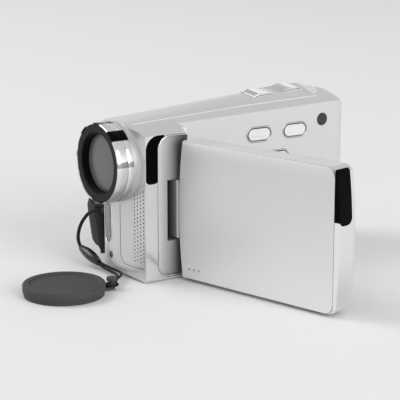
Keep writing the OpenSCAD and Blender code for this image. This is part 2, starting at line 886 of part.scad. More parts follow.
module cap_lug() {
    color(black) {
        translate([post_x, post_y, 0.2]) cylinder(r = post_r, h = 4.4);
        translate([post_x, post_y, 4]) cylinder(r = post_r + 0.8, h = 1.2);
        difference() {
            translate([post_x - 1.2, post_y - 5, 0.2]) cube([2.4, 5, 1.2]);
            translate([cap_x, cap_y, -past]) cylinder(r = cap_r, h = 10);
        }
    }
}

// ---- screen, drawn closed and turned open about the hinge axis ----

module in_screen() {
    translate([axis_x, axis_y, 0]) rotate([0, 0, -screen_open]) children();
}

module hinge_block() {
    color(silver) in_screen() difference() {
        translate([0, 0, notch_z0 + 0.4]) linear_extrude(notch_z1 - notch_z0 - 0.8)
            slab(-block_half, -block_half, block_half, block_half, block_round);
        translate([0, 0, notch_z0 - past]) cylinder(r = hinge_pin_r + running, h = notch_z1 - notch_z0 + 2 * past);
        translate([0, 1.9, axis_z]) rotate([-90, 0, 0]) cylinder(r = swivel_pin_r, h = 8);
    }
}

module swivel_pin() {
    color(chrome) in_screen() translate([0, 1.9, axis_z]) rotate([-90, 0, 0]) cylinder(r = swivel_pin_r, h = 13);
}

module swivel_bush() {
    color("gold") in_screen() translate([0, screen_near + 1, axis_z]) rotate([-90, 0, 0])
        ring(bush_r, swivel_pin_r + running, 8.5);
}

module panel_2d(inset) {
    difference() {
        intersection() {
            translate([screen_near, screen_z0 + inset])
                square([screen_l, screen_z1 - screen_z0 - 2 * inset]);
            translate([screen_near + inset + edge_bow_r, axis_z]) circle(edge_bow_r, $fn = 400);
            translate([screen_far - inset - edge_bow_r, axis_z]) circle(edge_bow_r, $fn = 400);
        }
        for (q = [0, 3]) corner_off(screen_far - inset - 0.8, q == 0 ? screen_z1 - inset : screen_z0 + inset, 5, q);
    }
}

module panel_slice(x, t, inset = 0) {
    translate([x, 0, 0]) along_x(t) panel_2d(inset);
}

module before_plate_end(gap) {
    translate([-big / 2, -big, -past]) cube([big, big + plate_end - gap, big]);
}

module screen_cover() {
    color(light) in_screen() difference() {
        intersection() {
            panel_slice(screen_t / 2 - plate_t, plate_t, 0.3);
            translate([-big / 2, 0, 0]) along_x(big) difference() {
                translate([0, 0]) square([plate_end - 0.1, big / 2]);
                corner_off(plate_end - 0.1, screen_z1 - 0.3, 4.4, 0);
                corner_off(plate_end - 0.1, screen_z0 + 0.3, 4.4, 3);
            }
        }
        for (i = [0 : 2]) translate([0, screen_near + 6 + 2.6 * i, screen_z0 + 4.4]) rotate([0, 90, 0])
            cylinder(r = 0.5, h = screen_t);
    }
}

module screen_end_trim() {
    color(chrome) in_screen() difference() {
        panel_slice(-screen_t / 2 + bezel_t, screen_t - bezel_t, 0);
        before_plate_end(0);
    }
}

module screen_frame() {
    x0 = -screen_t / 2 + bezel_t;
    t = screen_t - bezel_t - plate_t;
    color(silver) in_screen() difference() {
        union() {
            difference() {
                intersection() {
                    panel_slice(x0, t, 0);
                    before_plate_end(seat);
                }
                translate([x0 - past, screen_near + 3.4, screen_z0 + 1.6])
                    cube([t - 1.2 + past, plate_end - screen_near - 5, screen_z1 - screen_z0 - 3.2]);
            }
            translate([x0, screen_near + 1.5, axis_z - 4.4]) cube([t - 0.4, 8.5, 8.8]);
        }
        translate([0, screen_near - 3, axis_z]) rotate([-90, 0, 0]) cylinder(r = swivel_pin_r + 0.5, h = 30);
        translate([0, screen_near + 1, axis_z]) rotate([-90, 0, 0]) cylinder(r = bush_r, h = 20);
    }
}

lcd_y0 = screen_near + 13;
lcd_l = screen_l - 26;
lcd_z = 7;

module screen_bezel() {
    color(light) in_screen() difference() {
        panel_slice(-screen_t / 2, bezel_t, 0);
        translate([-screen_t / 2 - past, lcd_y0 - 1.5, screen_z0 + lcd_z - 1.5])
            cube([past + 0.9, lcd_l + 3, screen_z1 - screen_z0 - 2 * lcd_z + 3]);
        translate([-screen_t, lcd_y0, screen_z0 + lcd_z]) cube([screen_t, lcd_l, screen_z1 - screen_z0 - 2 * lcd_z]);
    }
}

module lcd_window() {
    color([0.08, 0.08, 0.1]) in_screen() translate([-screen_t / 2 + 0.1, lcd_y0 - 1.4, screen_z0 + lcd_z - 1.4])
        cube([0.8, lcd_l + 2.8, screen_z1 - screen_z0 - 2 * lcd_z + 2.8]);
}

module lcd_panel() {
    color([0.15, 0.16, 0.2]) in_screen() translate([-screen_t / 2 + bezel_t + 0.1, lcd_y0 - 2, screen_z0 + lcd_z - 2])
        cube([2.2, lcd_l + 4, screen_z1 - screen_z0 - 2 * lcd_z + 4]);
}

module screen_board() {
    color(green) in_screen() translate([0.4, lcd_y0 + 1, screen_z0 + lcd_z])
        cube([1, lcd_l - 12, screen_z1 - screen_z0 - 2 * lcd_z]);
}

grip_shell();
screen_side_shell();
front_grille();
hinge_trim();
hinge_cover();
hinge_pin();
lens_front_ring();
lens_rear_ring();
lens_barrel();
lens_bezel();
lens_glass();
lens_cell();
lens_rear_element();
image_sensor();
led_window();
led_board();
ir_window();
speaker();
microphone();
main_board();
side_board();
rear_board();
battery();
battery_door();
card_slot();
usb_port();
port_cover();
tripod_socket();
bumper_pad();
status_led();
power_button();
mode_button();
playback_button();
record_button();
nav_pad();
zoom_rocker();
rocker_seat();
rocker_pin();
case_screws();
strap_front_lug();
strap_rear_lug();
hand_strap();
tether_eyelet();
tether_cord();
tether_bead();
tether_loop();
lens_cap();
cap_lug();
hinge_block();
swivel_pin();
swivel_bush();
screen_cover();
screen_end_trim();
screen_frame();
screen_bezel();
lcd_panel();
lcd_window();
screen_board();
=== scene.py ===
"""The looks of a small silver camcorder: fold-out screen, ringed lens, hand strap, cap on a cord."""

import json
import math

import bmesh
import bpy
from bpy.props import FloatProperty, FloatVectorProperty, IntProperty, PointerProperty
from mathutils import Matrix, Vector
from mathutils.bvhtree import BVHTree


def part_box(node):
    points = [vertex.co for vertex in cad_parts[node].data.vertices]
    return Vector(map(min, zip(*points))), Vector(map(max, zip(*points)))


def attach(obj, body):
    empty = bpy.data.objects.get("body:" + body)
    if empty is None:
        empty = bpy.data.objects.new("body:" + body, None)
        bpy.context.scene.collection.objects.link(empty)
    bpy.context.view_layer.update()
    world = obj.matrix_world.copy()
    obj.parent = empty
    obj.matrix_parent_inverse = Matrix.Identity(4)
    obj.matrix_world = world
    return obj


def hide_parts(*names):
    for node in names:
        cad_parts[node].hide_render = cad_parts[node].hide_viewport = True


bl_info = {
    "name": "Silver camcorder",
    "version": (1, 0, 0),
    "blender": (4, 5, 0),
    "location": "View3D > Sidebar > Camcorder",
    "description": "Dresses a packed camcorder model with smooth shells, fabric, glass and chrome",
    "category": "Object",
}

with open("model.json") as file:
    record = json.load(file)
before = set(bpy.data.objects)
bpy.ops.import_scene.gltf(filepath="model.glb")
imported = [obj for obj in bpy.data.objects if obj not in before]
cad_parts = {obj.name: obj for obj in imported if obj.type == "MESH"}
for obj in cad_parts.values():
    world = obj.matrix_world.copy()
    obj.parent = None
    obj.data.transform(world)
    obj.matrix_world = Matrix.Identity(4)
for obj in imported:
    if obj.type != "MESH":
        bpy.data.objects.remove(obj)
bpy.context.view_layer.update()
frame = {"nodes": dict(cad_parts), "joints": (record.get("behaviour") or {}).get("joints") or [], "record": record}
MM = 0.001


# ---- sizes and places taken from the model ----

LENS = sum(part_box("lens_front_ring"), Vector()) / 2
HINGE = next(Vector(j["pos_m"]) for j in frame["joints"] if j["name"] == "screen_hinge")
ARM = next(Vector(j["axis"]) for j in frame["joints"] if j["name"] == "screen_swivel").normalized()
OUT = Vector((ARM.y, -ARM.x, 0.0))

# in millimetres: the front is a slice of a wide cylinder, with a rounded corner at the grip
BOW_X, BOW_Y, BOW_R = -2.0, 67.4, 110.0
CORNER_X, CORNER_Y, CORNER_R = -4.0, -22.6, 20.0
SEAM_X, SEAM_Z, SEAM_R = 3.2, 6.0, 4.5
CREASE_X = 7.05
RECESS_FRONT, RECESS_REAR, RECESS_LOW, RECESS_HIGH, RECESS_R = -33.8, -20.5, 2.3, 61.0, 5.0
HOLES_X, HOLES_Z = 13.1, 8.6
HOLE_COLUMNS, HOLE_ROWS, COLUMN_PITCH, ROW_PITCH = 4, 19, 1.83, 1.64
KEY_LENGTH, KEY_HEIGHT = 11.6, 5.0
MARK_LENGTH, MARK_HEIGHT = 7.6, 1.9
WELD = 0.002

# the middle of the cord, and of the doubled cord round the cap's lug, in millimetres
CORD = [
    (-17.6, -38.9, 23.7), (-19.4, -41, 23.8), (-22.4, -42, 22.6), (-25.2, -42.8, 20.1),
    (-27.4, -43.8, 16.6), (-28.2, -44.6, 13.1), (-27.4, -45.4, 10.3), (-25.4, -45.9, 8.2),
    (-23.7, -46, 7.1), (-19.1, -45.8, 5.8), (-14.6, -45.5, 4.5), (-10.4, -45.3, 3.3),
]
LOOP = [
    (-10, -44.6, 3.2), (-7.2, -44.2, 2.7), (-3.6, -43.9, 2.4), (0.6, -43.8, 2.4), (4.9, -44.1, 2.5),
    (8.9, -45.7, 2.7), (11.8, -48.2, 2.8), (14.4, -51.2, 2.6), (17.6, -53.5, 2.3),
    (19.8, -54.2, 2.2), (20.5, -55.9, 2.2), (19.8, -57.6, 2.2), (18.1, -58.3, 2.2),
    (16.4, -57.6, 2.2), (15.2, -55.2, 2.2), (13, -51.8, 2.2), (10.6, -49, 2.2), (7.4, -46.9, 2.1),
    (3, -45.8, 1.9), (-1.2, -45.6, 1.9), (-5, -45.6, 2.1), (-7.6, -45.8, 2.7), (-10, -46, 3.2),
]


def front_y(x):
    return BOW_Y - math.sqrt(BOW_R ** 2 - (x - BOW_X) ** 2)


def corner_y(x):
    """The front face with its rounded corner at the grip."""
    if x >= CORNER_X:
        return front_y(x)
    return max(front_y(x), CORNER_Y - math.sqrt(max(0.0, CORNER_R ** 2 - (x - CORNER_X) ** 2)))


# ---- shader groups ----

def make_group(name, inputs, outputs):
    """A shader group: inputs maps each label to its default, outputs to its kind of socket."""
    group = bpy.data.node_groups.new(name, "ShaderNodeTree")
    for label, value in inputs.items():
        kind = "Float" if isinstance(value, float) else "Color" if len(value) == 4 else "Vector"
        socket = group.interface.new_socket(name=label, in_out="INPUT", socket_type="NodeSocket" + kind)
        socket.default_value = value
    for label, kind in outputs.items():
        group.interface.new_socket(name=label, in_out="OUTPUT", socket_type="NodeSocket" + kind)
    return group, group.nodes.new("NodeGroupInput"), group.nodes.new("NodeGroupOutput")


def shared(build):
    """Builds a group once and gives the same one after that."""
    def get():
        return bpy.data.node_groups.get(build.__name__) or build()
    return get


def add(tree, kind, **settings):
    node = tree.nodes.new(kind)
    for key, value in settings.items():
        node.inputs[key].default_value = value
    return node


def maths(tree, operation, a, b=None, clamp=False):
    node = tree.nodes.new("ShaderNodeMath")
    node.operation = operation
    node.use_clamp = clamp
    for socket, value in zip(node.inputs, (a, b)):
        if isinstance(value, (int, float)):
            socket.default_value = value
        elif value is not None:
            tree.links.new(value, socket)
    return node.outputs[0]


def blend_colours(tree, factor, a, b):
    node = tree.nodes.new("ShaderNodeMix")
    node.data_type = "RGBA"
    for socket, value in ((node.inputs[0], factor), (node.inputs[6], a), (node.inputs[7], b)):
        if isinstance(value, tuple):
            socket.default_value = value
        else:
            tree.links.new(value, socket)
    return node.outputs[2]


def scaled(tree, vector, factor):
    node = tree.nodes.new("ShaderNodeVectorMath")
    node.operation = "SCALE"
    tree.links.new(vector, node.inputs[0])
    tree.links.new(factor, node.inputs["Scale"])
    return node.outputs[0]


def places(tree, kind="Object"):
    return tree.nodes.new("ShaderNodeTexCoord").outputs[kind]


def noise(tree, **settings):
    node = add(tree, "ShaderNodeTexNoise", **settings)
    tree.links.new(places(tree), node.inputs["Vector"])
    return node


def position(tree, axis, kind="Object"):
    """One coordinate of a point: axis is 0, 1 or 2."""
    split = tree.nodes.new("ShaderNodeSeparateXYZ")
    tree.links.new(places(tree, kind), split.inputs[0])
    return split.outputs[axis]


def share(tree, axis, start, span):
    """How far along an axis a point is: 0 at the start and 1 after the span."""
    return maths(tree, "DIVIDE", maths(tree, "SUBTRACT", position(tree, axis), start), span, clamp=True)


@shared
def fine_grain():
    """Lacquer or moulded plastic: fine grain, faint handling marks."""
    group, start, end = make_group(
        "fine_grain",
        {"Colour": (0.8, 0.8, 0.8, 1), "Grain size": 9000.0, "Colour change": 0.05, "Roughness": 0.4,
         "Roughness change": 0.08},
        {"Colour": "Color", "Roughness": "Float", "Height": "Float"})
    fine = noise(group, Detail=2.0)
    marks = noise(group, Scale=70.0, Detail=4.0, Roughness=0.6)
    group.links.new(start.outputs["Grain size"], fine.inputs["Scale"])
    centred = maths(group, "SUBTRACT", fine.outputs[0], 0.5)
    change = maths(group, "MULTIPLY", centred, start.outputs["Colour change"])
    tint = scaled(group, start.outputs["Colour"], maths(group, "ADD", change, 1.0))
    group.links.new(tint, end.inputs["Colour"])
    smudge = maths(group, "MULTIPLY", maths(group, "SUBTRACT", marks.outputs[0], 0.5),
                   start.outputs["Roughness change"])
    rough = maths(group, "ADD", maths(group, "ADD", start.outputs["Roughness"], smudge),
                  maths(group, "MULTIPLY", centred, 0.1), clamp=True)
    group.links.new(rough, end.inputs["Roughness"])
    group.links.new(fine.outputs[0], end.inputs["Height"])
    return group


@shared
def brushed():
    """Metal finished along one direction."""
    group, start, end = make_group(
        "brushed",
        {"Colour": (0.8, 0.8, 0.8, 1), "Lines": (30.0, 30.0, 6000.0), "Colour change": 0.08,
         "Roughness": 0.3},
        {"Colour": "Color", "Roughness": "Float", "Height": "Float"})
    stretch = group.nodes.new("ShaderNodeVectorMath")
    stretch.operation = "MULTIPLY"
    group.links.new(places(group), stretch.inputs[0])
    group.links.new(start.outputs["Lines"], stretch.inputs[1])
    lines = add(group, "ShaderNodeTexNoise", Scale=1.0, Detail=3.0)
    group.links.new(stretch.outputs[0], lines.inputs["Vector"])
    centred = maths(group, "SUBTRACT", lines.outputs[0], 0.5)
    change = maths(group, "MULTIPLY", centred, start.outputs["Colour change"])
    group.links.new(scaled(group, start.outputs["Colour"], maths(group, "ADD", change, 1.0)),
                    end.inputs["Colour"])
    rough = maths(group, "ADD", start.outputs["Roughness"], maths(group, "MULTIPLY", centred, 0.2),
                  clamp=True)
    group.links.new(rough, end.inputs["Roughness"])
    group.links.new(lines.outputs[0], end.inputs["Height"])
    return group


@shared
def webbing():
    """Threads of a herringbone band, from UVs in threads along and across."""
    group, start, end = make_group(
        "webbing",
        {"Light thread": (0.1, 0.1, 0.1, 1), "Dark thread": (0.02, 0.02, 0.02, 1), "Slant": 1.0},
        {"Colour": "Color", "Roughness": "Float", "Height": "Float"})
    along, across = position(group, 0, "UV"), position(group, 1, "UV")
    zigzag = maths(group, "MULTIPLY", maths(group, "PINGPONG", across, 4.0), start.outputs["Slant"])
    ridge, weft = (maths(group, "ABSOLUTE", maths(group, "SINE", maths(group, "MULTIPLY", count, math.pi)))
                   for count in (maths(group, "ADD", along, zigzag), across))
    height = maths(group, "MULTIPLY", ridge, maths(group, "ADD", maths(group, "MULTIPLY", weft, 0.5), 0.5))
    fuzz = noise(group, Scale=2500.0, Detail=3.0)
    mixed = maths(group, "MULTIPLY", height, maths(group, "ADD", fuzz.outputs[0], 0.4), clamp=True)
    group.links.new(blend_colours(group, mixed, start.outputs["Dark thread"], start.outputs["Light thread"]),
                    end.inputs["Colour"])
    group.links.new(maths(group, "SUBTRACT", 0.95, maths(group, "MULTIPLY", height, 0.25)),
                    end.inputs["Roughness"])
    group.links.new(height, end.inputs["Height"])
    return group


@shared
def painted_reflection_mask():
    """A mask for a painted reflection on a trim band: dark above a rounded lower end."""
    group, start, end = make_group(
        "painted_reflection_mask",
        {"Across": (0.0, 1.0, 0.0), "Middle": 0.0, "Half width": 0.003, "Lowest": 0.04,
         "Rounding": 0.003, "Full height": 0.056},
        {"Mask": "Float"})
    sharp = 4000.0
    dot = group.nodes.new("ShaderNodeVectorMath")
    dot.operation = "DOT_PRODUCT"
    group.links.new(places(group), dot.inputs[0])
    group.links.new(start.outputs["Across"], dot.inputs[1])
    height = position(group, 2)
    off = maths(group, "SUBTRACT", dot.outputs["Value"], start.outputs["Middle"])
    part = maths(group, "DIVIDE", off, start.outputs["Half width"])
    square = maths(group, "MULTIPLY", part, part)
    lift = maths(group, "MULTIPLY", maths(group, "MULTIPLY", square, square), start.outputs["Rounding"])
    above = maths(group, "SUBTRACT", maths(group, "SUBTRACT", height, start.outputs["Lowest"]), lift)
    high = maths(group, "MULTIPLY", above, sharp, clamp=True)
    inside = maths(group, "MULTIPLY", maths(group, "SUBTRACT", 1.0, square), 12.0, clamp=True)
    crown = maths(group, "MULTIPLY", maths(group, "SUBTRACT", height, start.outputs["Full height"]), sharp,
                  clamp=True)
    group.links.new(maths(group, "MULTIPLY", high, maths(group, "MAXIMUM", inside, crown)),
                    end.inputs["Mask"])
    return group


# ---- materials ----

def new_material(name, metallic=0.0, coat=0.0, ior=1.5, sheen=0.0):
    material = bpy.data.materials.new(name)
    material.use_nodes = True
    tree = material.node_tree
    shader = tree.nodes["Principled BSDF"]
    for label, value in (("Metallic", metallic), ("Coat Weight", coat), ("Coat Roughness", 0.08),
                         ("IOR", ior), ("Sheen Weight", sheen)):
        shader.inputs[label].default_value = value
    return material, tree, shader


def place_group(tree, shader, group, values):
    """Adds a group and links its colour and roughness, where it has them, to the shader."""
    node = tree.nodes.new("ShaderNodeGroup")
    node.node_tree = group
    for key, value in values.items():
        node.inputs[key].default_value = value
    for output, label in (("Colour", "Base Color"), ("Roughness", "Roughness")):
        if output in node.outputs:
            tree.links.new(node.outputs[output], shader.inputs[label])
    return node


def add_bump(tree, shader, height, strength, distance):
    bump = add(tree, "ShaderNodeBump", Strength=strength, Distance=distance)
    tree.links.new(height, bump.inputs["Height"])
    tree.links.new(bump.outputs[0], shader.inputs["Normal"])


def worn(name, colour, roughness, grain, change, marks, **more):
    """A material with fine grain and handling marks."""
    material, tree, shader = new_material(name, **more)
    wear = place_group(tree, shader, fine_grain(), {
        "Colour": (*colour, 1), "Grain size": grain, "Colour change": change,
        "Roughness": roughness, "Roughness change": marks})
    return material, tree, shader, wear


def grade(tree, shader, factor, a, b):
    """Blends the base colour from a to b as the factor goes from 0 to 1."""
    tree.links.new(blend_colours(tree, factor, a, b), shader.inputs["Base Color"])


def grained(name, colour, roughness, grain=9000.0, change=0.06, marks=0.08, bump=0.05, depth=0.00002,
            **more):
    """A grained material, made once. A name that the frame has too gives the frame's plain material."""
    found = bpy.data.materials.get(name)
    if found:
        return found
    material, tree, shader, wear = worn(name, colour, roughness, grain, change, marks, **more)
    add_bump(tree, shader, wear.outputs["Height"], bump, depth)
    return material


def woven(name, light, dark, slant):
    """A woven material, with names treated as in grained."""
    found = bpy.data.materials.get(name)
    if found:
        return found
    material, tree, shader = new_material(name, sheen=0.05, ior=1.25)
    node = place_group(tree, shader, webbing(), {
        "Light thread": (*light, 1), "Dark thread": (*dark, 1), "Slant": slant})
    add_bump(tree, shader, node.outputs["Height"], 0.9, 0.0002)
    return material


def banded_chrome(name, across, middle, half, lowest, rounding, full):
    """Bright chrome with a painted reflection: its upper part is painted black."""
    material, tree, shader, wear = worn(name, looks().chrome, 0.12, 3000.0, 0.02, 0.04)
    mask = place_group(tree, shader, painted_reflection_mask(), {
        "Across": across, "Middle": middle, "Half width": half, "Lowest": lowest, "Rounding": rounding,
        "Full height": full}).outputs["Mask"]
    # painted reflection: a near-black, non-metal colour takes the place of the chrome where the mask is
    grade(tree, shader, mask, wear.outputs["Colour"], (0.0008, 0.0008, 0.001, 1))
    bright = maths(tree, "SUBTRACT", 1.0, mask)
    tree.links.new(bright, shader.inputs["Metallic"])
    tree.links.new(maths(tree, "MULTIPLY", bright, 0.6), shader.inputs["Coat Weight"])
    shader.inputs["Specular IOR Level"].default_value = 0.04
    return material


def ring_chrome():
    """Chrome of the lens rings, with reflections painted in light and dark bands round the barrel."""
    material, tree, shader = new_material("lens_chrome", metallic=0.85)
    turn = maths(tree, "ARCTAN2", maths(tree, "SUBTRACT", position(tree, 2), LENS.z),
                 maths(tree, "ABSOLUTE", position(tree, 0)))
    ramp = tree.nodes.new("ShaderNodeValToRGB")
    tree.links.new(maths(tree, "ADD", maths(tree, "DIVIDE", turn, math.pi), 0.5), ramp.inputs[0])
    stops = ramp.color_ramp.elements
    stops[0].position, stops[1].position = 0.0, 1.0
    # degrees up from the horizontal, and how bright the painted reflection band is there
    bands = [(-90, 0.25), (-84, 0.02), (-75, 0.02), (-73, 0.4), (-60, 0.3), (-48, 0.5), (-38, 0.72),
             (-8, 0.78), (1.5, 0.86), (3, 0.36), (9.5, 0.4), (11, 0.92), (40.5, 0.9), (41.5, 0.004),
             (59.5, 0.004), (60.5, 0.85), (80, 0.8), (83, 0.01), (90, 0.01)]
    for k, (degrees, level) in enumerate(bands):
        place = degrees / 180 + 0.5
        stop = stops[0] if k == 0 else stops.new(place) if k < len(bands) - 1 else stops[len(stops) - 1]
        stop.position = place
        stop.color = (level, level, level * 1.01, 1)
    speckle = noise(tree, Scale=900.0, Detail=3.0)
    low = maths(tree, "MULTIPLY", maths(tree, "SUBTRACT", -0.7, turn), 3.0, clamp=True)
    spots = maths(tree, "MULTIPLY", maths(tree, "SUBTRACT", speckle.outputs[0], 0.5), 3.0)
    mottle = maths(tree, "MULTIPLY", spots, low)
    tree.links.new(scaled(tree, ramp.outputs[0], maths(tree, "ADD", mottle, 1.0)),
                   shader.inputs["Base Color"])
    shader.inputs["Roughness"].default_value = 0.14
    shader.inputs["Specular IOR Level"].default_value = 0.1
    return material


# ---- mesh helpers ----

def link(name, data):
    """A new object in the scene."""
    obj = bpy.data.objects.new(name, data)
    bpy.context.scene.collection.objects.link(obj)
    return obj


def make_object(name, bm, smooth=35):
    mesh = bpy.data.meshes.new(name)
    bm.to_mesh(mesh)
    bm.free()
    mesh.polygons.foreach_set("use_smooth", [True] * len(mesh.polygons))
    if smooth:
        mesh.set_sharp_from_angle(angle=math.radians(smooth))
    return link(name, mesh)


def bake_modifiers(obj):
    bpy.context.view_layer.update()
    evaluated = obj.evaluated_get(bpy.context.evaluated_depsgraph_get())
    mesh = bpy.data.meshes.new_from_object(evaluated)
    obj.modifiers.clear()
    obj.data = mesh


def dress(obj, body, slot, material, *nodes):
    obj.data.materials.clear()
    obj.data.materials.append(material)
    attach(obj, body)
    if nodes:
        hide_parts(*nodes)
    return obj


def skin(name, node, body, slot, material, radius, steps, angle=25):
    """The same piece with its edges rounded."""
    bm = bmesh.new()
    bm.from_mesh(frame["nodes"][node].data)
    bmesh.ops.remove_doubles(bm, verts=bm.verts, dist=WELD * MM)
    bmesh.ops.dissolve_degenerate(bm, edges=bm.edges, dist=WELD * MM)
    bmesh.ops.dissolve_limit(bm, angle_limit=math.radians(0.6), verts=bm.verts, edges=bm.edges)
    obj = make_object(name, bm, smooth=0)
    edge = obj.modifiers.new("round", "BEVEL")
    edge.width = radius * MM
    edge.segments = steps
    edge.limit_method = "ANGLE"
    edge.angle_limit = math.radians(angle)
    edge.harden_normals = False
    even = obj.modifiers.new("even", "WEIGHTED_NORMAL")
    even.keep_sharp = True
    bake_modifiers(obj)
    return dress(obj, body, slot, material, node)


def lathe(name, profile, centre, axis=(0, -1, 0), around=96, smooth=35):
    """Turns (radius, along) points in millimetres about an axis through a centre given in metres."""
    bm = bmesh.new()
    turn = Vector((0, 0, 1)).rotation_difference(Vector(axis)).to_matrix().to_4x4()
    place = Matrix.Translation(centre) @ turn
    rows = []
    for r, h in profile:
        if r < 1e-6:
            rows.append([bm.verts.new(place @ Vector((0, 0, h * MM)))])
        else:
            rows.append([bm.verts.new(place @ Vector((r * MM * math.cos(a), r * MM * math.sin(a), h * MM)))
                         for a in (2 * math.pi * k / around for k in range(around))])
    for a, b in zip(rows, rows[1:]):
        for k in range(around):
            n = (k + 1) % around
            if len(a) == 1:
                bm.faces.new((a[0], b[n], b[k]))
            elif len(b) == 1:
                bm.faces.new((a[k], a[n], b[0]))
            else:
                bm.faces.new((a[k], a[n], b[n], b[k]))
    if len(rows[0]) > 1 and len(rows[-1]) > 1:
        for k in range(around):
            n = (k + 1) % around
            bm.faces.new((rows[-1][k], rows[-1][n], rows[0][n], rows[0][k]))
    bmesh.ops.recalc_face_normals(bm, faces=bm.faces)
    return make_object(name, bm, smooth)


def round_curve(name, radius, resolution):
    curve = bpy.data.curves.new(name, "CURVE")
    curve.dimensions = "3D"
    curve.bevel_depth = radius * MM
    curve.bevel_resolution = resolution
    curve.use_fill_caps = True
    return curve


def wire(name, points, radius, closed=False):
    """A round wire through points in millimetres."""
    curve = round_curve(name, radius, 3)
    line = curve.splines.new("POLY")
    line.points.add(len(points) - 1)
    for knot, place in zip(line.points, points):
        knot.co = (*(Vector(place) * MM), 1)
    line.use_cyclic_u = closed
    line.use_smooth = True
    return link(name, curve)


def arc(cx, cy, r, start, stop, steps=10):
    turns = (math.radians(start + (stop - start) * k / steps) for k in range(steps + 1))
    return [(cx + r * math.cos(a), cy + r * math.sin(a)) for a in turns]


def pill_outline(length, height):
    r, half = height / 2, (length - height) / 2
    return arc(half, 0, r, -90, 90) + arc(-half, 0, r, 90, 270)


def grid_faces(bm, rows):
    """Joins rows of corners into quads, round each row."""
    for a, b in zip(rows, rows[1:]):
        for k in range(len(a)):
            n = (k + 1) % len(a)
            bm.faces.new((a[k], a[n], b[n], b[k]))


def cord_curve(name, points, radius):
    """A smooth cord through points in millimetres."""
    curve = round_curve(name, radius, 4)
    curve.resolution_u = 8
    line = curve.splines.new("BEZIER")
    line.bezier_points.add(len(points) - 1)
    for knot, place in zip(line.bezier_points, points):
        knot.co = Vector(place) * MM
        knot.handle_left_type = knot.handle_right_type = "AUTO"
    return link(name, curve)


# ---- properties ----

class CamcorderLooks(bpy.types.PropertyGroup):
    silver: FloatVectorProperty(name="Silver lacquer", description="Colour of the case",
                                subtype="COLOR", size=3, min=0, max=1, default=(0.66, 0.66, 0.67))
    plate: FloatVectorProperty(name="Screen plate", description="Colour of the screen's outer plate",
                               subtype="COLOR", size=3, min=0, max=1, default=(0.80, 0.80, 0.80))
    chrome: FloatVectorProperty(name="Chrome", description="Colour of the bright trim",
                                subtype="COLOR", size=3, min=0, max=1, default=(0.86, 0.87, 0.88))
    cap: FloatVectorProperty(name="Lens cap", description="Colour of the cap and the bead",
                             subtype="COLOR", size=3, min=0, max=1, default=(0.02, 0.02, 0.0215))
    strap: FloatVectorProperty(name="Strap threads", description="Lighter thread of the hand strap",
                               subtype="COLOR", size=3, min=0, max=1, default=(0.085, 0.075, 0.068))
    floor: FloatVectorProperty(name="Floor", description="Colour of the floor",
                               subtype="COLOR", size=3, min=0, max=1, default=(0.8, 0.8, 0.8))
    azimuth: FloatProperty(name="Camera azimuth", description="Turn of the camera from the lens side",
                           subtype="ANGLE", default=math.radians(55.63))
    elevation: FloatProperty(name="Camera elevation", description="Height of the camera as an angle",
                             subtype="ANGLE", default=math.radians(13.07))
    distance: FloatProperty(name="Camera distance", description="Distance of the camera from the case",
                            subtype="DISTANCE", unit="LENGTH", default=0.65335)
    thread: FloatProperty(name="Strap thread", description="Pitch of the strap's threads",
                          subtype="DISTANCE", unit="LENGTH", default=0.0011)
    ribs: IntProperty(name="Bezel ribs", description="Number of ribs inside the lens bezel",
                      default=9, min=3)


def looks():
    return bpy.context.scene.camcorder_looks


def silver_paint():
    return grained("silver_lacquer", looks().silver, 0.32, metallic=0.55, coat=0.1, change=0.10)


def chrome():
    return grained("bright_chrome", looks().chrome, 0.05, metallic=1.0, grain=3000.0, change=0.01,
                   marks=0.03, bump=0.01)


def black_plastic():
    return grained("cap_plastic", looks().cap, 0.5, grain=6000.0, change=0.2, bump=0.25, depth=0.00003,
                   ior=1.28)


def shadow():
    return grained("seam_shadow", (0.02, 0.02, 0.02), 0.6)


def steel():
    """Ground steel, for pins and inner metal."""
    material, tree, shader = new_material("ground_steel", metallic=1.0)
    node = place_group(tree, shader, brushed(), {
        "Colour": (0.55, 0.55, 0.56, 1), "Lines": (4000.0, 4000.0, 40.0), "Colour change": 0.08,
        "Roughness": 0.3})
    add_bump(tree, shader, node.outputs["Height"], 0.04, 0.00001)
    return material


# ---- operators ----

